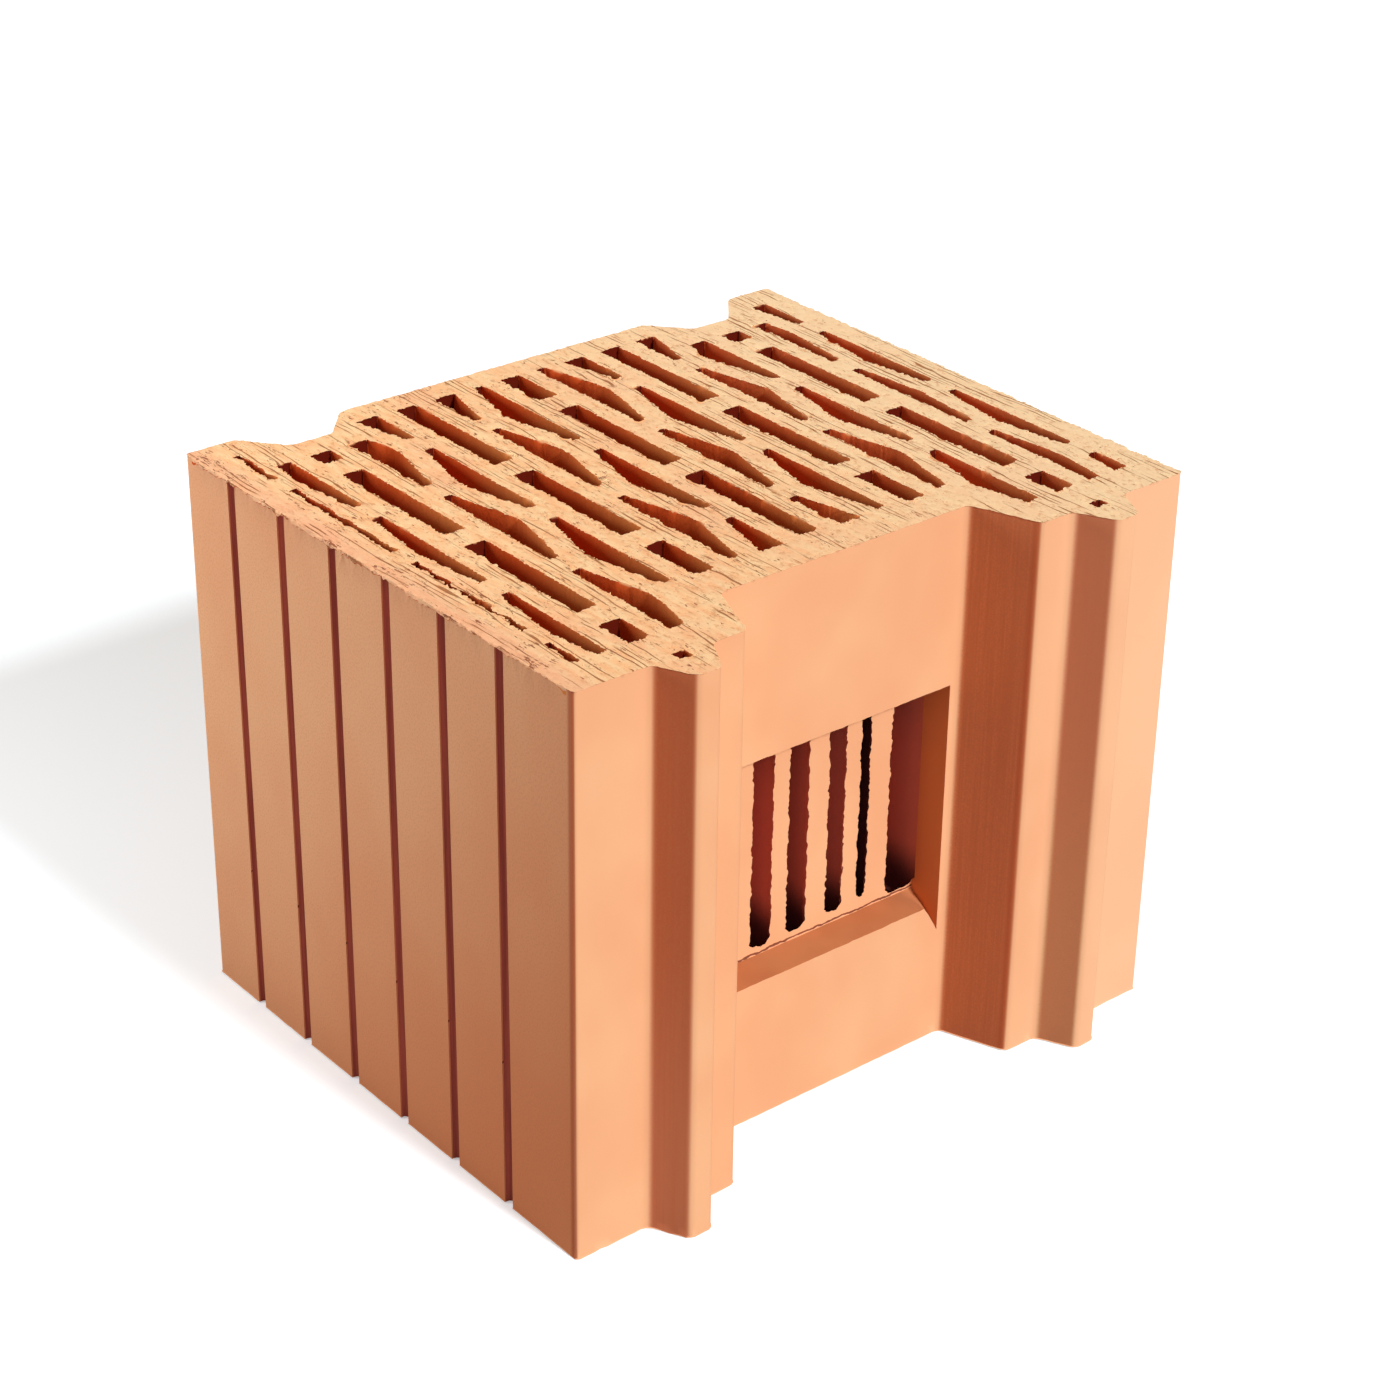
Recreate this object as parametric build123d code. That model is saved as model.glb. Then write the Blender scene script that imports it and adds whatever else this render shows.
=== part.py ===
from build123d import *
import os

# Perforated clay wall block, wire-cut and fired in one piece. It stands as it is laid: cores upright,
# bed faces up and down, tongues to the front (-Y). Plan sizes are taken from the middle of the block
# in X and from the front strips in Y.

# Block
length = 295.0              # side face to side face
width = 248.0               # front strips to back strips, without the tongues
height = 238.0              # bed face to bed face, as the wire cuts it
corner_radius = 2.0         # four upright corners

# Tongues at the front, and the grooves at the back that take the next block's tongues
tongue_inset = 46.5         # side face to the middle of a tongue or groove
tongue_base = 27.0
tongue_tip = 10.5
tongue_height = 16.0
tongue_tip_radius = 4.5
tongue_foot_radius = 5.0
tongue_hole_length = 5.5
tongue_hole_width = 4.5
groove_mouth_play = 10.5    # room each side of the tongue at its base
groove_floor_play = 4.25    # room each side of the tongue at its tip
groove_depth_play = 2.0     # room past the tip
groove_floor_radius = 5.0
groove_mouth_radius = 7.0
back_panel_step = 1.5       # panel between the grooves, back from the strips

# Mortar recess between the tongues
recess_shelf = 16.0         # flat strip from the foot of a tongue to the mouth of the recess
recess_flank = 11.0         # slope of each side, mouth to floor
recess_depth = 28.5
recess_radius = 4.0

# Scored lines that part each side face into plaster strips
score_first = 42.5          # front strips to the first line
score_pitch = 34.5
score_count = 6
score_width = 4.6
score_depth = 3.2

# Core field: plain slots in columns, with a pair of kite slots between each two
core_shift = -2.5           # the field sits this far to the left of the middle
column_pitch = 51.5         # plain slot to plain slot
plain_slot_width = 9.5
column_wall = 9.0           # straight wall between a plain slot and a kite slot
kite_width = 11.25          # at the apex
kite_tip = 4.0              # at both ends
kite_flat = 4.0             # length of the flat apex
edge_kite_width = 7.5       # narrower kites beside the outermost plain slots
edge_slot_gap = 4.0         # from there to the last slot before the side wall
side_wall = 13.25
row_first = 41.0            # front strips to the first cross web
row_pitch = 40.0            # webs of neighbouring columns are staggered by this
row_web = 12.5
strip_wall = 17.5           # front strips to the core field
recess_wall = 17.0          # recess floor to the core field
groove_wall = 13.0          # groove floor to the core field
back_wall = 14.0            # back strips to the core field
core_radius = 1.0           # corners of every slot

# Grip pocket cut into the recess floor
pocket_margin = 3.75        # flat of the recess floor left at each end of the pocket
pocket_height = 99.0
pocket_floor = 63.0         # bed face to the pocket's sill
pocket_depth = 16.0
pocket_toe = 4.5            # skin left standing on the sill below the opened cores
pocket_whole = 28.0         # and over the core at the pocket's left end, which stays closed

tongue_x = length / 2 - tongue_inset
groove_mouth = tongue_base + 2 * groove_mouth_play
groove_floor = tongue_tip + 2 * groove_floor_play
groove_depth = tongue_height + groove_depth_play
recess_mouth = 2 * (tongue_x - tongue_base / 2 - recess_shelf)
recess_floor = recess_mouth - 2 * recess_flank
pocket_width = recess_floor - 2 * pocket_margin


def rounded(face, points, radius):
    """Round the corners of the face that stand at these points, on both sides of the middle."""
    spots = [Vector(side * x, y) for x, y in points for side in (-1, 1)]
    corners = [v for v in face.vertices() if any((Vector(v) - s).length < 0.01 for s in spots)]
    return fillet(corners, radius)


def outline():
    """Plan of the block without its cores, drawn on the right and mirrored."""
    recess = [(recess_floor / 2, recess_depth), (recess_mouth / 2, 0)]
    foot = [(tongue_x - tongue_base / 2, 0), (tongue_x + tongue_base / 2, 0)]
    tip = [(tongue_x - tongue_tip / 2, -tongue_height), (tongue_x + tongue_tip / 2, -tongue_height)]
    corner = [(length / 2, 0), (length / 2, width)]
    mouth = [
        (tongue_x + groove_mouth / 2, width),
        (tongue_x - groove_mouth / 2, width - back_panel_step),
    ]
    floor = [
        (tongue_x + groove_floor / 2, width - groove_depth),
        (tongue_x - groove_floor / 2, width - groove_depth),
    ]
    half = Polygon(
        (0, recess_depth), *recess, foot[0], *tip, foot[1], *corner,
        mouth[0], *floor, mouth[1], (0, width - back_panel_step),
        align=None,
    )
    face = half + mirror(half, about=Plane.YZ)
    face = rounded(face, recess, recess_radius)
    face = rounded(face, tip, min(tongue_tip_radius, 0.45 * tongue_tip))
    face = rounded(face, foot, tongue_foot_radius)
    face = rounded(face, mouth, groove_mouth_radius)
    face = rounded(face, floor, groove_floor_radius)
    return rounded(face, corner, corner_radius)


def score_lines():
    """Round-bottomed grooves in both side faces."""
    line = SlotOverall(2 * score_depth, score_width)
    spots = [
        (side * length / 2, score_first + i * score_pitch)
        for side in (-1, 1) for i in range(score_count)
    ]
    return [Pos(x, y) * line for x, y in spots]


def columns():
    """Straight side and width of every column, from left to right.

    A positive width lies to the right of the straight side. Plain slots have no kite shape.
    """
    reach = plain_slot_width / 2 + column_wall
    apex = reach + edge_kite_width + edge_slot_gap
    edge = length / 2 - side_wall
    each_side = int((edge - apex - abs(core_shift)) // column_pitch)
    found = [(-edge, edge + core_shift - each_side * column_pitch - apex, True)]
    for i in range(-each_side, each_side + 1):
        x = core_shift + i * column_pitch
        left = edge_kite_width if i == -each_side else kite_width
        right = edge_kite_width if i == each_side else kite_width
        found.append((x - reach, -left, True))
        found.append((x - plain_slot_width / 2, plain_slot_width, False))
        found.append((x + reach, right, True))
    found.append((edge, core_shift + each_side * column_pitch + apex - edge, True))
    return found


def slot(straight, breadth, kite, start):
    """Slot from one cross web to the next, before the edge of the field shortens it."""
    long = 2 * row_pitch - row_web
    tip = min(kite_tip, abs(breadth)) * (1 if breadth > 0 else -1) if kite else breadth
    flat = (long - kite_flat) / 2
    points = [(0, 0), (tip, 0), (breadth, flat), (breadth, long - flat), (tip, long), (0, long)]
    if not kite:
        points = [(0, 0), (breadth, 0), (breadth, long), (0, long)]
    if breadth > 0:
        points.reverse()
    return Polygon(*[(straight + x, start + y) for x, y in points], align=None)


def limits(centre):
    """Front and back end of the core field at this distance from the middle."""
    shelf = (recess_mouth / 2 + tongue_x - tongue_base / 2) / 2
    front = recess_depth + recess_wall if abs(centre) < shelf else strip_wall
    beside_groove = abs(abs(centre) - tongue_x) < groove_mouth / 2
    back = width - (groove_depth + groove_wall if beside_groove else back_wall)
    return front, back


def core_slots():
    """Every core slot with its front end: the webs of each column are one row off the last."""
    found = []
    for number, (straight, breadth, kite) in enumerate(columns()):
        centre = straight + breadth / 2
        front, back = limits(centre)
        window = Pos(centre, (front + back) / 2) * Rectangle(2 * kite_width, back - front)
        web = row_first + (number % 2 - 2) * row_pitch
        while web < back:
            start = web + row_web / 2
            end = start + 2 * row_pitch - row_web
            if min(end, back) - max(start, front) > row_web / 2:
                face = window & slot(straight, breadth, kite, start)
                found.append((fillet(face.vertices(), core_radius), max(start, front)))
            web += 2 * row_pitch
    return found


def tongue_holes():
    return [Pos(side * tongue_x, 0) * Rectangle(tongue_hole_length, tongue_hole_width)
            for side in (-1, 1)]


def grip_pocket(slots):
    """Hand pocket whose back skin is broken through wherever a core stands behind it."""
    back = recess_depth + pocket_depth
    base = (Align.CENTER, Align.MAX, Align.MIN)
    hollow = Pos(0, back, pocket_floor) * Box(pocket_width, 2 * pocket_depth, pocket_height, align=base)
    opened = [hollow]
    for face, front in slots:
        end = face.edges().sort_by(Axis.Y)[0]
        left = end.center().X - end.length / 2 + pocket_width / 2
        inside = pocket_whole < left < pocket_width - end.length
        if inside and front - back < recess_wall / 2:
            gap = Box(end.length, front - back + pocket_depth / 2, pocket_height - pocket_toe, align=base)
            opened.append(Pos(end.center().X, front, pocket_floor + pocket_toe) * gap)
    return opened


slots = core_slots()
plan = outline() - [face for face, _ in slots] - score_lines() - tongue_holes()
block = extrude(plan, height) - grip_pocket(slots)
clay_block = Pos(0, -(width - tongue_height) / 2) * block.solid()
clay_block.label = "clay_block"

os.makedirs("parts", exist_ok=True)
export_step(clay_block, "parts/clay_block.step")
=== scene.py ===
import math

import bmesh
import bpy
import numpy as np
from mathutils import Matrix, Vector, kdtree, noise
from mathutils.geometry import delaunay_2d_cdt


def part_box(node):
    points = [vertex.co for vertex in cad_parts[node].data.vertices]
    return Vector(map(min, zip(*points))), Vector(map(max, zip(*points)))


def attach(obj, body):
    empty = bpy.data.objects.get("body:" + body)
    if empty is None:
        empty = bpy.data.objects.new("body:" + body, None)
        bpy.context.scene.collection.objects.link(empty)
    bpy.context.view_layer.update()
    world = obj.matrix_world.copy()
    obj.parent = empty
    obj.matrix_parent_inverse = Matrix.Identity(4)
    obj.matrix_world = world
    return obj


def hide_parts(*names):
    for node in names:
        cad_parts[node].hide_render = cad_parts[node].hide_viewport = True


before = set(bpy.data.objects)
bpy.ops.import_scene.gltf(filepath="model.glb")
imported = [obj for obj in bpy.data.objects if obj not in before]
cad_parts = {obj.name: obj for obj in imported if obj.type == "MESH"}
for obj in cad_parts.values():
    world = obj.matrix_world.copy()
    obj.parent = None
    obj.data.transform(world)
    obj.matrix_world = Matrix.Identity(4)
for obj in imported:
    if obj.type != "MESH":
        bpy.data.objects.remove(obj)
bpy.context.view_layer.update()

# Clay body
# One length of extruded clay, wire-cut above and below, then dried and fired. Its sides keep the die's
# smooth skin. The wire drags along the cores (Y), so both bed faces are scored and their rims are torn.
MM = 0.001                                  # sizes are written in millimetres, and the scene is in metres
body_low, body_high = (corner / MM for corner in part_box("clay_block"))
bed_top = body_high.z
tongue_height = 16.0                        # the side faces begin this far behind the tongues' tips
skin_inset = 0.35                           # the torn lips reach the overall size, and the skin stays inside
plain_depth = 12.0                          # from here down the walls are plain
wall_step = 9.0                             # spacing of points along the plain walls
top_steps = (0.72, 1.5, 3.6)                # spacing of points: rims, then across and along the drag
bed_steps = (3.4, 4.0, 9.0)
top_seed, bed_seed = 3.0, 50.0

rim_depths = (0.0, 0.7, 1.8, 4.8)           # torn rows below the cut, down to the plain wall
rim_weights = (1.0, 0.6, 0.25, 0.06)        # share of the tear that is left in each row
bed_rows = (0, 1, 3)                        # the rows that the hidden underside has
tear_waves = ((0.6, 0.9), (0.5, 0.37), (0.8, 1.7))      # height in mm, waves per mm
bite_rate, bite_least, bite_size = 0.16, 0.25, 4.0      # the few deep bites in a rim
burr_most, tear_most = 0.75, 1.7
drag_depth = 0.5
drag_jitter, rim_clearance = 0.2, 0.6       # how points stray in their row, and keep clear of the rims
drag_waves = ((0.5, 0.55, 0.012, 0), (0.35, 1.3, 0.03, 9), (0.35, 0.3, 0.15, 20))
shut_waves = ((1.2, 0.2, 0.13, 5), (0.35, 1.0, 0.5, 6))
thin_slot = 4.6                             # slots no wider than this are half closed by torn clay
shut_usual, shut_most = 0.35, 0.85
shut_depth = 9.0                            # the torn clay in a slot thins out down to here
open_end, open_fade = 1.0, 4.0              # a slot stays open at its very ends, then closes over a stretch

score_within = 5.0                          # scored lines lie within this of a side face
score_reach = (-100.0, 115.0)               # the stretch of a side face that has scored lines
side_fade = 9.0                             # the side faces' torn lip fades out this far from a corner
lip_waves = ((0.7, 0.3), (0.8, 1.1))
sag_waves = ((1.1, 0.13), (1.1, 0.6))
sag_usual, sag_least = 1.7, 0.9
skin_slot, cut_slot, core_slot, score_slot = range(4)


def bed_loops(node):
    """Outline and slot edges of the top bed face, each an ordered list with the clay on its left."""
    mesh = bmesh.new()
    mesh.from_mesh(node.data)
    bmesh.ops.remove_doubles(mesh, verts=mesh.verts, dist=0.002 * MM)
    after = {}
    for face in mesh.faces:
        if face.normal.z > 0.99 and face.calc_center_median().z / MM > bed_top - 0.01:
            for corner in face.loops:
                if any(abs(f.normal.z) < 0.1 for f in corner.edge.link_faces if f is not face):
                    after[corner.vert] = corner.link_loop_next.vert
    loops = []
    while after:
        vert = next(iter(after))
        loop = []
        while vert in after:
            loop.append(Vector((vert.co.x / MM, vert.co.y / MM)))
            vert = after.pop(vert)
        loops.append(loop)
    mesh.free()
    return loops


def area(loop):
    """Area of the loop, below zero where it runs clockwise."""
    return sum(a.x * b.y - b.x * a.y for a, b in zip(loop, loop[1:] + loop[:1])) / 2


def spaced(loop, step):
    """The loop with its long edges divided, and for each given edge the number of its parts."""
    points = []
    parts = []
    for a, b in zip(loop, loop[1:] + loop[:1]):
        count = max(1, round((b - a).length / step))
        parts.append(count)
        points += [a.lerp(b, i / count) for i in range(count)]
    return points, parts


def into_void(points):
    """Unit vectors that point from the clay into the slot or the open, one for each point."""
    normals = []
    for i, p in enumerate(points):
        along = (points[(i + 1) % len(points)] - p).normalized() + (p - points[i - 1]).normalized()
        along.normalize()
        normals.append(Vector((along.y, -along.x)))
    return normals


def ripple(spot, waves, usual=0.0):
    """Chance height in millimetres around a usual one. Each wave has a height and a rate per millimetre."""
    return sum((height * noise.noise(spot * rate) for height, rate in waves), usual)


def ridges(x, y, seed, waves, usual=0.0):
    """As ripple, with waves that have a height, a rate across and along the drag, and a seed step."""
    return sum((height * noise.noise(Vector((x * across, y * along, seed + step)))
                for height, across, along, step in waves), usual)


def tear(point, seed):
    """Millimetres that a rim is torn back at a point. Below zero, a burr hangs over the slot."""
    spot = Vector((point.x, point.y, seed))
    bite = max(0.0, noise.noise(spot * bite_rate) - bite_least) * bite_size
    return min(tear_most, max(-burr_most, ripple(spot, tear_waves) + bite))


def cut_height(x, y, seed):
    """Height of the cut face against the bed plane: never above it, with drag marks along Y."""
    return -drag_depth + drag_depth * max(-1.0, min(1.0, ridges(x, y, seed, drag_waves)))


def drag_points(spots, polygons, seed, steps):
    """Points of one cut face, in rows along the drag, that keep clear of its rims."""
    near = kdtree.KDTree(len(spots))
    for i, p in enumerate(spots):
        near.insert((p.x, p.y, 0), i)
    near.balance()
    ends = np.array([(*spots[a], *spots[b]) for p in polygons for a, b in zip(p, p[1:] + p[:1])])
    _, across, along = steps
    inner = []
    for row, y in enumerate(np.arange(body_low.y + 1, body_high.y, along)):
        crossing = (ends[:, 1] > y) != (ends[:, 3] > y)
        x0, y0, x1, y1 = ends[crossing].T
        cuts = np.sort(x0 + (y - y0) / (y1 - y0) * (x1 - x0))
        half = row % 2 / 2
        for left, right in zip(cuts[::2], cuts[1::2]):
            for k in range(math.ceil(left / across + half), math.floor(right / across + half) + 1):
                stray = noise.noise(Vector((k * 0.7, row * 0.7, seed)))
                x = (k - half) * across + drag_jitter * stray
                if near.find((x, y, 0))[2] > rim_clearance * across:
                    inner.append(Vector((x, y)))
    return inner


def bed_face(mesh, rims, height, seed, steps):
    """Triangles of one cut face between its rims, with points between them that follow the drag."""
    flat = [v for rim in rims for v in rim]
    spots = [v.co.xy for v in flat]
    polygons = []
    for rim in rims:
        start = sum(len(p) for p in polygons)
        polygon = list(range(start, start + len(rim)))
        polygons.append(polygon if area([v.co.xy for v in rim]) > 0 else polygon[::-1])
    sizes = [area([spots[i] for i in polygon]) for polygon in polygons]
    outline = sizes.index(max(sizes))
    inner = drag_points(spots, polygons, seed, steps)
    points, _, faces, origin, _, owners = delaunay_2d_cdt(spots + inner, [], polygons, 0, 1e-6, True)
    up = height > 1
    made = []
    for point, source in zip(points, origin):
        if source and source[0] < len(flat):
            made.append(flat[source[0]])
            continue
        z = height + (1 if up else -1) * cut_height(point.x, point.y, seed)
        made.append(mesh.verts.new((point.x, point.y, z)))
    for face, owner in zip(faces, owners):
        if list(owner) == [outline]:
            corners = [made[i] for i in (face if up else reversed(face))]
            mesh.faces.new(corners).material_index = cut_slot


def closed_over(points):
    """The outline with its scored lines bridged, as the wire leaves it when it smears their ends."""
    inside = [body_high.x - score_within < abs(p.x) < body_high.x - 0.1
              and score_reach[0] < p.y < score_reach[1] for p in points]
    bridged = [p.copy() for p in points]
    for i, p in enumerate(points):
        if inside[i] and not inside[i - 1]:
            end = next(k for k in range(i, i + len(points)) if not inside[k % len(points)])
            for k in range(i, end):
                share = (k - i + 1) / (end - i + 1)
                bridged[k % len(points)] = points[i - 1].lerp(points[end % len(points)], share)
    return bridged


def outer_rim(points, height, seed):
    """Rows of the outline, and which points carry the torn lip that the wire leaves on the side faces."""
    up = 1 if height > 1 else -1
    bridged = closed_over(points) if up > 0 else points
    rows = [[] for _ in rim_depths]
    lipped = []
    for p, n, lid, m in zip(points, into_void(points), bridged, into_void(bridged)):
        to_corner = min(lid.y - body_low.y - tongue_height, body_high.y - lid.y) / side_fade
        on_side = up > 0 and abs(lid.x) > body_high.x - 0.1
        side = max(0.0, min(1.0, to_corner)) if on_side else 0.0
        lipped.append(side > 0.5)
        spot = Vector((lid.x, lid.y, seed))
        worn = ripple(spot, lip_waves)
        back = max(0.0, 0.5 + worn) * side + (1 - side) * (0.05 + 0.25 * max(0.0, worn))
        sag = max(sag_least, ripple(spot, sag_waves, sag_usual))
        # Profile of the lip, row by row: how far in it stands, and how far down it hangs.
        lip = (back, 0.1 + 0.35 * back, 0.12 + 0.15 * abs(worn), skin_inset)
        fall = (0.25 * side * back - cut_height(lid.x, lid.y, seed), 0.55 * sag, sag, sag + 0.3)
        last = 0.0
        for row, (inset, depth, plain) in enumerate(zip(lip, fall, rim_depths)):
            over = side > 0 and row < len(rim_depths) - 1
            base, out = (lid, m) if over else (p, n)
            if row:
                depth = max(last + 0.15, depth * side + plain * (1 - side))
                inset = inset * side + skin_inset * (1 - side)
            last = depth
            place = base - out * inset
            rows[row].append((place.x, place.y, height - up * depth))
    return rows, lipped


def slot_rim(points, height, seed):
    """Rows of a core's rim: torn back or hanging over, and half closed on the thin slots."""
    up = 1 if height > 1 else -1
    left, right = min(p.x for p in points), max(p.x for p in points)
    front, back = min(p.y for p in points), max(p.y for p in points)
    rows = []
    torn = [tear(p, seed) for p in points]
    for depth, weight in zip(rim_depths, rim_weights):
        row = []
        for p, normal, bite in zip(points, into_void(points), torn):
            spot = p - normal * bite * (weight if bite > 0 else weight ** 2)
            if right - left < thin_slot and back - front > thin_slot:
                shut = max(0.0, min(shut_most, ridges(p.x, p.y, seed, shut_waves, shut_usual)))
                ends = max(0.0, min(p.y - front, back - p.y) - open_end) / open_fade
                shut = min(1.0, ends) * shut * (1 - depth / shut_depth)
                spot.x += ((left + right) / 2 - p.x) * shut
            z = height - up * depth
            if depth == 0:
                z += up * (cut_height(p.x, p.y, seed) - 0.35 * max(0.0, bite))
            row.append((spot.x, spot.y, z))
        rows.append(row)
    return rows


def quads(mesh, upper, lower, slots):
    """Band of faces between two rows, with a material slot for each."""
    for i, slot in enumerate(slots):
        j = (i + 1) % len(upper)
        mesh.faces.new((upper[i], lower[i], lower[j], upper[j])).material_index = slot


def stitch(mesh, upper, lower, parts, slot, up):
    """Wall between a finely divided row and a plain one: parts gives the fine points of each edge."""
    start = 0
    for i, count in enumerate(parts):
        fine = [upper[(start + k) % len(upper)] for k in range(count + 1)]
        a, b = lower[i], lower[(i + 1) % len(lower)]
        middle = (count + 1) // 2
        corners = [(fine[k], a if k < middle else b, fine[k + 1]) for k in range(count)]
        corners.append((fine[middle], a, b))
        for corner in corners:
            mesh.faces.new(corner if up else corner[::-1]).material_index = slot
        start += count


def block_mesh(node):
    """Closed mesh of the whole block without the grip pocket, and the triangles beside its slots' rims.

    Each core's walls hold front_share, which runs from 0 at the back end to 1 at the front.
    """
    mesh = bmesh.new()
    share = mesh.verts.layers.float.new("front_share")
    top_rims = []
    bed_rims = []
    for loop in bed_loops(node):
        outside = area(loop) > 0
        wall = skin_slot if outside else core_slot
        inset = skin_inset if outside else 0
        coarse, _ = spaced(loop, wall_step)
        plain = [p - n * inset for p, n in zip(coarse, into_void(coarse))]
        upper = [mesh.verts.new((p.x, p.y, bed_top - plain_depth)) for p in plain]
        lower = [mesh.verts.new((p.x, p.y, plain_depth)) for p in plain]
        walls = upper + lower
        quads(mesh, upper, lower, [wall] * len(plain))
        for height, step, seed, end, rims in (
            (bed_top, top_steps[0], top_seed, upper, top_rims),
            (0.0, bed_steps[0], bed_seed, lower, bed_rims),
        ):
            up = height > 1
            points, parts = spaced(coarse, step)
            if outside:
                rows, lipped = outer_rim(points, height, seed)
            else:
                rows = slot_rim(points, height, seed)
                lipped = [False] * len(points)
            if not up:
                rows = [rows[number] for number in bed_rows]
            rows = [[mesh.verts.new(spot) for spot in row] for row in rows]
            walls += [vert for row in rows for vert in row]
            for number, (first, second) in enumerate(zip(rows, rows[1:])):
                # Under the side faces' lip, the third band takes the dark core clay: painted shade under the
                # lip.
                lip = cut_slot if number < 2 else core_slot
                pair = (first, second) if up else (second, first)
                quads(mesh, *pair, [lip if on_lip else wall for on_lip in lipped])
            stitch(mesh, rows[-1], end, parts, wall, up)
            rims.append(rows[0])
        front, back = min(p.y for p in loop), max(p.y for p in loop)
        for vert in walls:
            vert[share] = (back - vert.co.y) / (back - front)
    bed_face(mesh, top_rims, bed_top, top_seed, top_steps)
    bed_face(mesh, bed_rims, 0.0, bed_seed, bed_steps)
    mesh.normal_update()
    outline = max(top_rims, key=len)
    rims = {vert for rim in top_rims if rim is not outline for vert in rim}
    strips = [[v.co * MM for v in face.verts] for face in mesh.faces
              if face.normal.z > 0.5 and len(face.verts) == 3 and any(v in rims for v in face.verts)]
    return mesh, strips


block, rim_strips = block_mesh(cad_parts["clay_block"])
bmesh.ops.scale(block, verts=block.verts, vec=(MM, MM, MM))
data = bpy.data.meshes.new("clay_body")
block.to_mesh(data)
block.free()
clay_body = bpy.data.objects.new("clay_body", data)
bpy.context.collection.objects.link(clay_body)


def linear(code):
    """Linear colour of an sRGB hex value."""
    levels = [int(code[i:i + 2], 16) / 255 for i in (1, 3, 5)]
    return [v / 12.92 if v <= 0.04045 else ((v + 0.055) / 1.055) ** 2.4 for v in levels] + [1.0]


def add(tree, kind, inputs=(), **settings):
    """Add a node with its settings. An input takes a number, a hex colour, a socket or another node."""
    made = tree.nodes.new(kind)
    for name, value in settings.items():
        setattr(made, name, value)
    for name, value in dict(inputs).items():
        if isinstance(value, bpy.types.Node):
            value = value.outputs[0]
        if isinstance(value, bpy.types.NodeSocket):
            tree.links.new(value, made.inputs[name])
        else:
            made.inputs[name].default_value = linear(value) if isinstance(value, str) else value
    return made


def new_finish(name, roughness):
    """Material of this roughness, with its tree and its shader."""
    material = bpy.data.materials.new(name)
    material.use_nodes = True
    shader = material.node_tree.nodes["Principled BSDF"]
    shader.inputs["Roughness"].default_value = roughness
    return material, material.node_tree, shader


def place_and_facing(tree):
    """X, Y and Z of each spot on the piece, and of the direction that its surface faces."""
    place = add(tree, "ShaderNodeTexCoord").outputs["Object"]
    normal = add(tree, "ShaderNodeNewGeometry").outputs["Normal"]
    return [add(tree, "ShaderNodeSeparateXYZ", {0: value}).outputs for value in (place, normal)]


def grains(tree, *sizes):
    """Chance patterns. Each has the size of its grains in millimetres along X, Y and Z, and its detail."""
    place = add(tree, "ShaderNodeTexCoord").outputs["Object"]
    patterns = []
    for x, y, z, detail in sizes:
        scaled = add(tree, "ShaderNodeVectorMath", {
            0: place, 1: (1 / (x * MM), 1 / (y * MM), 1 / (z * MM)),
        }, operation="MULTIPLY")
        patterns.append(add(tree, "ShaderNodeTexNoise", {
            "Vector": scaled, "Scale": 1.0, "Detail": detail, "Roughness": 0.55,
        }))
    return patterns


def coated(tree, colour, *coats):
    """The colour under coats of others. A coat has its tint, its full share, and spans that fade it in.

    A span has a value, where on it the coat starts, and where the coat is whole.
    """
    for tint, share, *spans in coats:
        for value, start, whole in spans:
            share = add(tree, "ShaderNodeMapRange", {
                "Value": value, "From Min": start, "From Max": whole, "To Min": 0.0, "To Max": share,
            }, interpolation_type="SMOOTHSTEP")
        colour = add(tree, "ShaderNodeMix", {0: share, 6: colour, 7: tint}, data_type="RGBA").outputs[2]
    return colour


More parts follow.
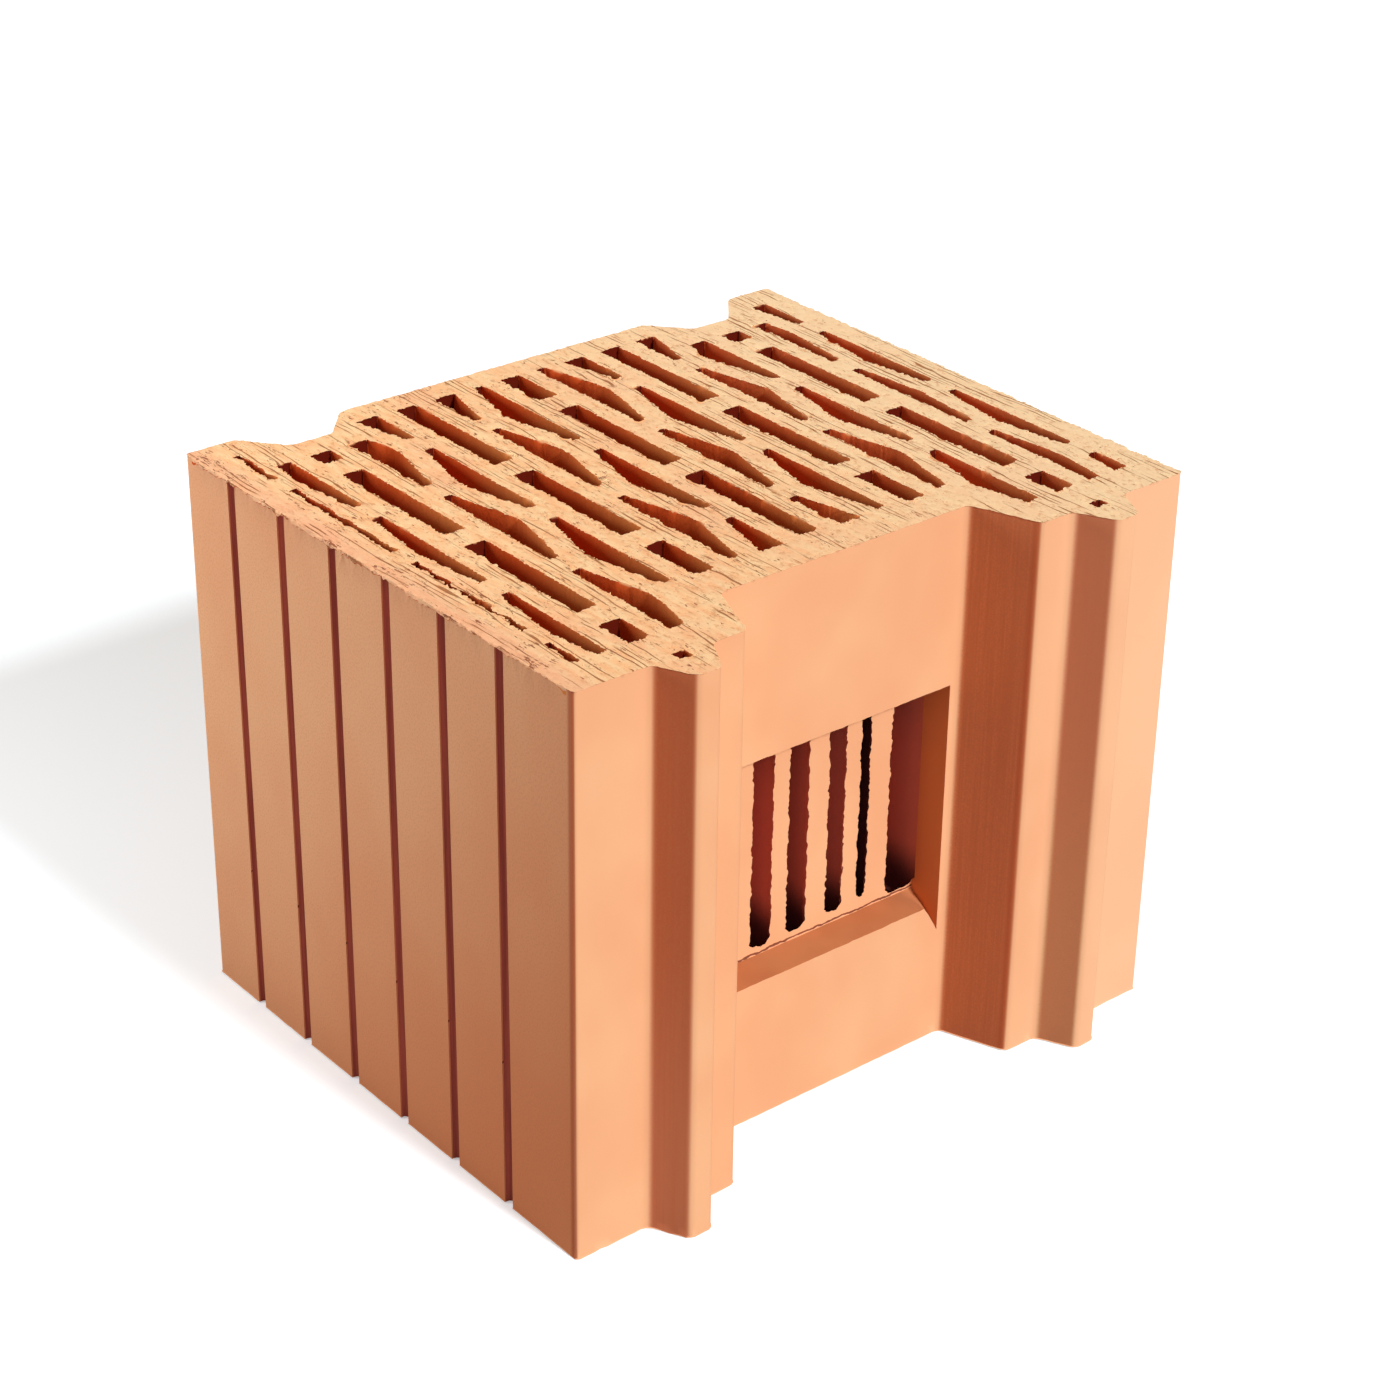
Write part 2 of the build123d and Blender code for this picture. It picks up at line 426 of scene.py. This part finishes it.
def die_smoothed_clay():
    """Terracotta skin polished by the die: matt and pale. Faces turned to the left (-X) are painted redder
    as painted
    shade: the left face most at its lower front, the front corner's rounding, and most of all the flanks of
    tongues and recess, where the die's upright streaks show. The tongues' flanks are painted paler towards
    their foot, the right one paler than the skin, as painted light. Its grit is drawn 0.8 mm wide, coarser
    than it is, so that it shows."""
    material, tree, shader = new_finish("die_smoothed_clay", 0.85)
    at, facing = place_and_facing(tree)
    cloud, streak, grit, wobble = grains(
        tree, (45, 45, 60, 2.0), (1.0, 1.0, 60, 4.0), (0.8, 0.8, 0.8, 1.0), (6, 6, 6, 3.0),
    )
    facing_left = (facing["X"], -0.5, -0.86)
    on_flank = (facing["Y"], -0.1, -0.25)
    on_side = (facing["Y"], -0.25, -0.1)
    painted_shade_low_front = add(tree, "ShaderNodeMath", {0: at["Y"], 1: 0.9, 2: at["Z"]}, operation="MULTIPLY_ADD")
    # Painted light and shade on the flanks that face left. The recess flank is painted dark red as painted
    # shade. The tongues' flanks are painted paler than it, the right one paler than the skin, and paler
    # still towards their foot, as painted light.
    left_tongue_painted_shading = coated(
        tree, "#DC8C60",
        ("#B86A42", streak),
        (coated(tree, "#FFC8A0", ("#DC9870", streak)), 1.0, (at["Z"], 150 * MM, 30 * MM)),
    )
    right_tongue_painted_light = coated(
        tree, "#FFCEA4",
        ("#F8BC94", streak),
        ("#FFE4AE", 1.0, (at["Z"], 170 * MM, 50 * MM)),
    )
    painted_flank_shade = coated(
        tree, "#C66A3E",
        ("#BC6236", 1.0, (streak, 0.3, 0.65)),
        ("#A04A26", 0.35, (grit, 0.35, 0.7)),
        (left_tongue_painted_shading, 1.0, (at["X"], -76 * MM, -84 * MM)),
        (right_tongue_painted_light, 1.0, (at["X"], 76 * MM, 84 * MM)),
    )
    # A dark, wavering line runs along the foot of the pocket's back wall, about 64 mm up.
    level = add(tree, "ShaderNodeMath", {0: wobble, 1: -3 * MM, 2: at["Z"]}, operation="MULTIPLY_ADD")
    off_foot = add(tree, "ShaderNodeMath", {0: level, 1: 62.4 * MM}, operation="SUBTRACT")
    off_foot = add(tree, "ShaderNodeMath", {0: off_foot}, operation="ABSOLUTE")
    on_back_wall = (at["Y"], -74 * MM, -73 * MM)
    colour = coated(
        tree, "#ECAB7E",
        ("#F0B587", 1.0, (cloud, 0.3, 0.7)),
        ("#FACBA4", 0.5, (at["X"], 50 * MM, 140 * MM)),
        # Painted shade: faces that look left are painted redder, most towards the lower front of the left
        # face.
        ("#D87643", 0.75, (painted_shade_low_front, 210 * MM, -60 * MM), on_side, facing_left),
        # Painted shade and light on the flanks that face left.
        (painted_flank_shade, 0.95, on_flank, facing_left),
        # Painted shade: faces that look left in front of Y -112 mm, the front corner's rounding among them,
        # are painted darker red.
        ("#B4552C", 0.8, (at["Y"], -111.5 * MM, -113.5 * MM), facing_left),
        ("#B87848", 0.3, (grit, 0.4, 0.8), facing_left),
        ("#6C2810", 0.9, (off_foot, 0.6 * MM, 0.35 * MM), on_back_wall, (facing["Y"], -0.7, -0.9)),
    )
    bump = add(tree, "ShaderNodeBump", {"Height": grit, "Strength": 0.15, "Distance": 0.1 * MM})
    tree.links.new(colour, shader.inputs["Base Color"])
    tree.links.new(bump.outputs[0], shader.inputs["Normal"])
    return material


def wire_cut_clay():
    """Cut face that the wire dragged open: pale crumbly clay. Bundles of fine brown lines run with the
    drag (Y), and short pits and dashes lie between them. They are sunk by the bump, and their brown, like
    the darker low spots of the grain, is painted shade in these grooves, holes and hollows. Drawn 0.4 mm
    wide, so that they show."""
    material, tree, shader = new_finish("wire_cut_clay", 0.95)
    at, _ = place_and_facing(tree)
    waver, bundle, run, patch, small_pit, large_pit, tone, blush, crumb = grains(
        tree, (11, 70, 11, 3.0), (6, 40, 6, 1.0), (1.6, 45, 1.6, 1.0), (7, 12, 7, 2.0), (0.8, 3.0, 0.8, 3.0),
        (1.1, 7.0, 1.1, 4.0), (3, 12, 3, 4.0), (30, 60, 30, 2.0), (1.6, 3.2, 1.6, 3.0),
    )
    left_edge = (at["X"], -134 * MM, -145 * MM)

    # Lines 2.2 mm apart, which waver by some millimetres. They show in bundles, and in runs of 45 mm.
    across = add(tree, "ShaderNodeMath", {0: waver, 1: 10 * MM, 2: at["X"]}, operation="MULTIPLY_ADD")
    off_line = add(tree, "ShaderNodeMath", {0: across, 1: 1.1 * MM}, operation="PINGPONG")
    line = 1.0
    for value, start, whole in ((off_line, 0.36 * MM, 0.2 * MM), (bundle, 0.48, 0.55), (run, 0.44, 0.52)):
        line = add(tree, "ShaderNodeMapRange", {
            "Value": value, "From Min": start, "From Max": whole, "To Min": 0.0, "To Max": line,
        }, interpolation_type="SMOOTHSTEP")

    # A grain above this level is a pit. The level is lower in patches and at the left edge.
    level = 0.0
    for value, start, whole, first, last in (
        (patch, 0.4, 0.62, 0.83, 0.625),
        (at["X"], -20 * MM, 120 * MM, 0.0, 0.05),
        (*left_edge, 0.0, -0.05),
    ):
        part = add(tree, "ShaderNodeMapRange", {
            "Value": value, "From Min": start, "From Max": whole, "To Min": first, "To Max": last,
        }, interpolation_type="SMOOTHSTEP")
        level = add(tree, "ShaderNodeMath", {0: level, 1: part}, operation="ADD")
    pit = 0.0
    for grain, start in ((small_pit, -0.02), (large_pit, -0.01)):
        above = add(tree, "ShaderNodeMath", {0: grain, 1: level}, operation="SUBTRACT")
        dug = add(tree, "ShaderNodeMapRange", {
            "Value": above, "From Min": start, "From Max": 0.03,
        }, interpolation_type="SMOOTHSTEP")
        pit = add(tree, "ShaderNodeMath", {0: pit, 1: dug}, operation="MAXIMUM")

    # The brown of the lines and pits is painted shade in these grooves and holes.
    painted_mark_shade = [add(tree, "ShaderNodeMath", {0: mark, 1: 0.85}, operation="MULTIPLY") for mark in (line, pit)]
    colour = coated(
        tree, "#FCC28C",
        ("#FFDAA6", 1.0, (tone, 0.3, 0.7)),
        ("#FAB68C", 0.4, (blush, 0.45, 0.7)),
        ("#FFE4B8", 0.7, (at["X"], -60 * MM, 140 * MM)),
        # Painted shade: the low spots of the crumb grain, which the bump sinks, are painted darker.
        ("#CC8854", 0.5, (crumb, 0.46, 0.3)),
        ("#F0AC88", 0.5, left_edge),
        ("#9A5418", painted_mark_shade[0]),
        ("#8E4014", painted_mark_shade[1]),
    )
    raised = add(tree, "ShaderNodeMath", {0: tone, 1: crumb}, operation="ADD")
    dark = add(tree, "ShaderNodeMath", {0: line, 1: pit}, operation="MAXIMUM")
    height = add(tree, "ShaderNodeMath", {0: raised, 1: dark}, operation="SUBTRACT")
    bump = add(tree, "ShaderNodeBump", {"Height": height, "Strength": 0.6, "Distance": 0.9 * MM})
    tree.links.new(colour, shader.inputs["Base Color"])
    tree.links.new(bump.outputs[0], shader.inputs["Normal"])
    return material


def core_clay():
    """Clay inside the cores: fired with less air, so a deeper red. It is painted darker towards the back end
    of each core and near black on the faces that look to the front (-Y), low down behind the pocket, and in
    the narrow core
    there: painted shade. The torn rims are pale, like the cut face. Its grit is drawn 1.2 mm wide, so that
    it shows."""
    material, tree, shader = new_finish("core_clay", 0.95)
    at, facing = place_and_facing(tree)
    (rough,) = grains(tree, (1.2, 1.2, 1.6, 3.0))
    front = add(tree, "ShaderNodeAttribute", attribute_name="front_share").outputs["Fac"]
    opened = ((at["Y"], -35 * MM, -60 * MM), (at["Z"], 190 * MM, 165 * MM))

    # Painted shade: the foot of the opened cores, and the narrow core between X 24 and 37 mm, where least
    # light reaches, are painted near black.
    shares = []
    for spans in (
        ((at["Z"], 84 * MM, 66 * MM),),
        ((at["X"], 23 * MM, 25 * MM), (at["X"], 38 * MM, 36 * MM)),
    ):
        share = 0.8
        for value, start, whole in spans:
            share = add(tree, "ShaderNodeMapRange", {
                "Value": value, "From Min": start, "From Max": whole, "To Min": 0.0, "To Max": share,
            }, interpolation_type="SMOOTHSTEP")
        shares.append(share)
    deepest_painted_shade = add(tree, "ShaderNodeMath", {0: shares[0], 1: shares[1]}, operation="MAXIMUM")
    colour = coated(
        tree, "#D45824",
        # Painted shade: the walls are darker towards the back end of each core.
        ("#E08848", 1.0, (front, 0.2, 1.0)),
        ("#F8905A", 0.5, (at["X"], 0.0, 130 * MM)),
        # Painted shade: faces that look to the front, the cores' back ends, are painted near black.
        ("#5E1404", 1.0, (facing["Y"], -0.5, -0.8)),
        ("#D88070", 1.0, *opened),
        # Painted shade where least light reaches.
        ("#301028", deepest_painted_shade, *opened),
        ("#F4B884", 1.0, (at["Z"], 236.2 * MM, 237.2 * MM), (facing["Z"], 0.15, 0.45)),
    )
    bump = add(tree, "ShaderNodeBump", {"Height": rough, "Strength": 0.5, "Distance": 0.3 * MM})
    shader.inputs["Specular IOR Level"].default_value = 0.1
    tree.links.new(colour, shader.inputs["Base Color"])
    tree.links.new(bump.outputs[0], shader.inputs["Normal"])
    return material


def scored_clay():
    """Walls of a scored line: streaked by the die's ridge, and painted darker than the skin as painted shade
    in the groove.
    """
    material, tree, shader = new_finish("scored_clay", 0.9)
    (streak,) = grains(tree, (1.5, 1.5, 60, 3.0))
    colour = coated(tree, "#D07868", ("#B06056", 1.0, (streak, 0.3, 0.7)))
    tree.links.new(colour, shader.inputs["Base Color"])
    return material


skin, cut_face, core, score = die_smoothed_clay(), wire_cut_clay(), core_clay(), scored_clay()
for finish in (skin, cut_face, core, score):
    data.materials.append(finish)
# Faces inside the scored lines take the scored clay, whose darker colour is painted shade.
line_bottom, line_mouth = 143.0, 146.6      # a scored line's walls, from the middle of the block
line_first, line_last = -90.0, 110.0
for face in data.polygons:
    x, y, _ = face.center / MM
    if face.material_index == skin_slot and line_bottom < abs(x) < line_mouth and line_first < y < line_last:
        face.material_index = score_slot

# Grip pocket
# Pushed into the soft recess floor after the wire has cut the block. Its back skin is torn open along
# the cores behind it, so every opening has a ragged edge, and the sill has lost its right corner.
pocket_half = 56.75
pocket_low, pocket_high = 63.0, 162.0
skin_plane, pocket_back, core_front = -87.5, -71.5, -70.5
pocket_seed, opening_seed = 7.0, 20.0
pocket_parts, opening_parts = (45, 40), (9, 86)     # points across and up
edge_play, top_play = 0.1, 0.6      # an opening ends this far inside its core's edges and the pocket's top
pocket_rows = (          # place in Y, how ragged the edge is, and how far the sill's right corner is down
    (skin_plane - 8, 0.3, 13.0),
    (skin_plane, 0.3, 13.0),
    (skin_plane + 1.5, 0.15, 11.0),
    (pocket_back - 2, 0.15, 2.0),
    (pocket_back, 0.15, 0.0),
)
openings = (             # left and right edge and lower end on the skin, then the core's own edges
    (-28.9, -18.6, 66.5, -25.5, -16.3),
    (-10.6, -0.6, 67.0, -7.2, 2.2),
    (9.6, 18.2, 68.0, 11.3, 20.5),
    (26.0, 31.0, 68.5, 30.3, 35.2),
    (41.8, 56.9, 64.6, 44.3, 56.7),
)
edge_waves = ((0.6, 0.55), (0.7, 0.2), (0.6, 1.3))
corner_reach = 2.3       # the lower corners of an opening are cut off this far
chip_height, chip_width = 8.0, 7.0


def punched_clay():
    """Clay pressed by the pocket's punch: dull. Its brown, darker than the skin, is painted shade inside the
    pocket, and it is painted paler on the upright walls that face -X, as painted light. Its grit is drawn
    1.5 mm wide, so that it shows."""
    material, tree, shader = new_finish("punched_clay", 0.9)
    _, facing = place_and_facing(tree)
    rough, cloud = grains(tree, (1.5, 1.5, 1.5, 2.0), (30, 30, 30, 2.0))
    colour = coated(
        # Painted shade: brown and darker than the skin inside the pocket.
        tree, "#C47E50",
        ("#BA7246", 1.0, (cloud, 0.3, 0.7)),
        # Painted light: paler on the walls that face -X.
        ("#E08A54", 1.0, (facing["X"], -0.5, -0.8)),
    )
    bump = add(tree, "ShaderNodeBump", {"Height": rough, "Strength": 0.15, "Distance": 0.2 * MM})
    tree.links.new(colour, shader.inputs["Base Color"])
    tree.links.new(bump.outputs[0], shader.inputs["Normal"])
    return material


def loft(name, rings, side, end):
    """Closed mesh through rings of equally many points, in millimetres, from front to back."""
    mesh = bmesh.new()
    rows = [[mesh.verts.new(Vector(p) * MM) for p in ring] for ring in rings]
    for first, second in zip(rows, rows[1:]):
        for i in range(len(first)):
            j = (i + 1) % len(first)
            mesh.faces.new((first[i], second[i], second[j], first[j]))
    caps = [mesh.faces.new(rows[0]), mesh.faces.new(rows[-1][::-1])]
    for cap in caps:
        cap.material_index = 1
    bmesh.ops.triangulate(mesh, faces=caps)
    made = bpy.data.meshes.new(name)
    mesh.to_mesh(made)
    mesh.free()
    made.materials.append(side)
    made.materials.append(end)
    cutter = bpy.data.objects.new(name, made)
    bpy.context.collection.objects.link(cutter)
    return cutter


def ragged_ring(left, right, low, high, y, parts, ragged, seed, dip=0.0, rounding=0.0):
    """Outline of an opening in the XZ plane, with its points pushed in and out.

    The pocket's own right wall stays straight. A dip lowers the right end of the sill, and rounding
    cuts the lower corners off.
    """
    corners = [Vector((left, low)), Vector((right, low)), Vector((right, high)), Vector((left, high))]
    points = [a.lerp(b, i / count)
              for a, b, count in zip(corners, corners[1:] + corners[:1], parts * 2) for i in range(count)]
    ring = []
    for p, n in zip(points, into_void(points)):
        push = ragged * ripple(Vector((p.x, p.y, seed)), edge_waves)
        at_left, at_right = (max(0.0, 1 - (p - corner).length / corner_reach) * rounding
                             for corner in corners[:2])
        p = p + n * (0 if abs(p.x - pocket_half) < 0.5 else push)
        p = p + Vector((at_left - at_right, at_left + at_right))
        if p.y < low + chip_height:
            p.y -= dip * max(0.0, (p.x - right + chip_width) / chip_width)
        ring.append((p.x, y, p.y))
    return ring


def cut_away(piece, cutter):
    """Subtract the cutter from the piece and delete it."""
    cut = piece.modifiers.new("cut", "BOOLEAN")
    cut.operation = "DIFFERENCE"
    cut.solver = "MANIFOLD"
    cut.material_mode = "TRANSFER"
    cut.object = cutter
    view = bpy.context.evaluated_depsgraph_get()
    result = bpy.data.meshes.new_from_object(piece.evaluated_get(view))
    piece.modifiers.clear()
    piece.data = result
    bpy.data.objects.remove(cutter)


hollow = [
    ragged_ring(
        -pocket_half, pocket_half, pocket_low, pocket_high, y, pocket_parts, ragged, pocket_seed, dip,
    )
    for y, ragged, dip in pocket_rows
]
cut_away(clay_body, loft("pocket", hollow, punched_clay(), skin))
for number, (left, right, low, core_left, core_right) in enumerate(openings):
    # The last one lies at the pocket's right wall. Its cut starts further forward, and it runs deep.
    start, reach = (-73.0, 22.0) if right > pocket_half else (pocket_back - 1, 6.0)
    rings = []
    # Place in Y, share of the way to the core's own edges, how much lower the end is, and how ragged.
    for y, share, drop, ragged in (
        (start, 0, -1.4, 1.0),
        (pocket_back + 0.1, 0, 0, 1.0),
        (core_front, 0.1, 3, 0.8),
        (core_front + 4, 0.75, 7, 0.3),
        (core_front + reach, 1, 7, 0.0),
    ):
        rings.append(ragged_ring(
            left + (core_left + edge_play - left) * share,
            right + (core_right - edge_play - right) * share,
            low - drop, pocket_high - top_play, y, opening_parts, ragged, opening_seed + number,
            rounding=ragged,
        ))
    cut_away(clay_body, loft("opening", rings, core, core))

data = clay_body.data
data.shade_smooth()
data.set_sharp_from_angle(angle=math.radians(38))
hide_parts("clay_block")
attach(clay_body, "root")

# Rim crumbs
# Bits of clay, 0.4 to 1 mm, that the wire tore off and left on the rims of the cores, where they were
# fired on: pale like the cut face, or brown like the cores. One tumbled grain is strewn beside the rims.
grain_radius = 0.4
crumb_ceiling = bed_top - 0.1
strip_data = bpy.data.meshes.new("rim_crumbs")
corners = [corner for strip in rim_strips for corner in strip]
strip_data.from_pydata(corners, [], [(i, i + 1, i + 2) for i in range(0, len(corners), 3)])


def crumb_tree():
    """Node group that scatters grains on a mesh, pressed down to the height of a ceiling."""
    tree = bpy.data.node_groups.new("rim_crumbs", "GeometryNodeTree")
    for name, kind, flow in (
        ("Strips", "NodeSocketGeometry", "INPUT"),
        ("Density", "NodeSocketFloat", "INPUT"),
        ("Radius", "NodeSocketFloat", "INPUT"),
        ("Ceiling", "NodeSocketFloat", "INPUT"),
        ("Clay", "NodeSocketMaterial", "INPUT"),
        ("Seed", "NodeSocketInt", "INPUT"),
        ("Crumbs", "NodeSocketGeometry", "OUTPUT"),
    ):
        tree.interface.new_socket(name, in_out=flow, socket_type=kind)
    given = add(tree, "NodeGroupInput").outputs
    spots = add(tree, "GeometryNodeDistributePointsOnFaces", {
        "Mesh": given["Strips"], "Density": given["Density"], "Seed": given["Seed"],
    })
    tumbled = add(tree, "GeometryNodeMeshIcoSphere", {"Radius": given["Radius"], "Subdivisions": 1})
    turn = add(tree, "FunctionNodeRandomValue", {
        0: (0.0, 0.0, 0.0), 1: (6.28, 6.28, 6.28), "Seed": given["Seed"],
    }, data_type="FLOAT_VECTOR")
    stretch = add(tree, "FunctionNodeRandomValue", {
        0: (0.35, 0.5, 0.35), 1: (1.0, 1.7, 0.9), "Seed": given["Seed"],
    }, data_type="FLOAT_VECTOR")
    strewn = add(tree, "GeometryNodeInstanceOnPoints", {
        "Points": spots, "Instance": tumbled, "Rotation": turn, "Scale": stretch,
    })
    real = add(tree, "GeometryNodeRealizeInstances", {"Geometry": strewn})
    at = add(tree, "ShaderNodeSeparateXYZ", {0: add(tree, "GeometryNodeInputPosition")}).outputs
    low = add(tree, "ShaderNodeMath", {0: at["Z"], 1: given["Ceiling"]}, operation="MINIMUM")
    pressed = add(tree, "ShaderNodeCombineXYZ", {"X": at["X"], "Y": at["Y"], "Z": low})
    flat = add(tree, "GeometryNodeSetPosition", {"Geometry": real, "Position": pressed})
    done = add(tree, "GeometryNodeSetMaterial", {"Geometry": flat, "Material": given["Clay"]})
    add(tree, "NodeGroupOutput", {"Crumbs": done})
    return tree


crumbs = crumb_tree()
for name, clay, density, seed in (
    ("pale_crumbs", cut_face, 60000.0, 4),
    ("brown_crumbs", core, 35000.0, 9),
):
    scatter = bpy.data.objects.new(name, strip_data)
    bpy.context.collection.objects.link(scatter)
    strew = scatter.modifiers.new("strew", "NODES")
    strew.node_group = crumbs
    values = {
        "Density": density, "Radius": grain_radius * MM, "Ceiling": crumb_ceiling * MM,
        "Clay": clay, "Seed": seed,
    }
    for socket in crumbs.interface.items_tree:
        if socket.name in values:
            strew[socket.identifier] = values[socket.name]
    view = bpy.context.evaluated_depsgraph_get()
    result = bpy.data.meshes.new_from_object(scatter.evaluated_get(view))
    scatter.modifiers.clear()
    scatter.data = result
    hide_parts("clay_block")
    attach(scatter, "root")

# Floor
# A sheet of white paper far wider than the view. It is not part of the block.
floor_half = 6.0
floor_data = bpy.data.meshes.new("floor")
floor_data.from_pydata(
    [(-floor_half, -floor_half, 0), (floor_half, -floor_half, 0),
     (floor_half, floor_half, 0), (-floor_half, floor_half, 0)],
    [], [(0, 1, 2, 3)],
)
floor = bpy.data.objects.new("floor", floor_data)
bpy.context.collection.objects.link(floor)


def studio_paper():
    """Matt white paper. The camera sees it brighter than it lights the block, and its shadow stays."""
    material, tree, shader = new_finish("studio_paper", 1.0)
    seen = add(tree, "ShaderNodeLightPath").outputs["Is Camera Ray"]
    colour = coated(tree, "#989898", ("#E9F6FF", seen))
    glow = add(tree, "ShaderNodeMath", {0: seen, 1: 0.38}, operation="MULTIPLY")
    shader.inputs["Specular IOR Level"].default_value = 0.0
    shader.inputs["Emission Color"].default_value = (1, 1, 1, 1)
    tree.links.new(colour, shader.inputs["Base Color"])
    tree.links.new(glow.outputs[0], shader.inputs["Emission Strength"])
    return material


floor_data.materials.append(studio_paper())

# Camera
# From the front left and above, with a long lens. It was fitted to seven corners of the block.
scene = bpy.context.scene
scene.view_settings.view_transform = "Standard"
eye = Vector((-0.708, -0.8592, 0.7353))
aim = Vector((0.0225, 0.023, 0.12))
roll = math.radians(0.87)
camera = bpy.data.objects.new("camera", bpy.data.cameras.new("camera"))
camera.data.lens = 81.5
camera.data.sensor_width = 36.0
camera.location = eye
camera.rotation_euler = (
    (aim - eye).to_track_quat("-Z", "Y").to_matrix() @ Matrix.Rotation(roll, 3, "Z")
).to_euler()
bpy.context.collection.objects.link(camera)
scene.camera = camera

# Light
# A key light from the front right, as soft as a large window, a small fill by the left face's far edge,
# and a dim warm room. The camera and reflections see the room as white.
world = bpy.data.worlds.new("studio")
scene.world = world
world.use_nodes = True
sky = world.node_tree.nodes["Background"]
path = add(world.node_tree, "ShaderNodeLightPath").outputs
seen = path["Is Camera Ray"]
for ray in ("Is Glossy Ray", "Is Transmission Ray"):
    seen = add(world.node_tree, "ShaderNodeMath", {0: seen, 1: path[ray]}, operation="MAXIMUM").outputs[0]
strength = add(world.node_tree, "ShaderNodeMapRange", {"Value": seen, "To Min": 0.27, "To Max": 1.0})
world.node_tree.links.new(strength.outputs[0], sky.inputs["Strength"])
world.node_tree.links.new(coated(world.node_tree, "#FFE0C8", ("#FFFFFF", seen)), sky.inputs["Color"])

sun = bpy.data.lights.new("key", "SUN")
sun.energy = 3.22
sun.angle = math.radians(7)
to_key = Vector((0.1, -1.0, 0.73))
key = bpy.data.objects.new("key", sun)
key.rotation_euler = to_key.to_track_quat("Z", "Y").to_euler()
bpy.context.collection.objects.link(key)

soft = bpy.data.lights.new("fill", "AREA")
soft.size = 0.3
soft.energy = 2.6
lit_spot = Vector((-0.147, 0.0, 0.15))
fill = bpy.data.objects.new("fill", soft)
fill.location = (-0.62, 0.42, 0.40)
fill.rotation_euler = (fill.location - lit_spot).to_track_quat("Z", "Y").to_euler()
bpy.context.collection.objects.link(fill)
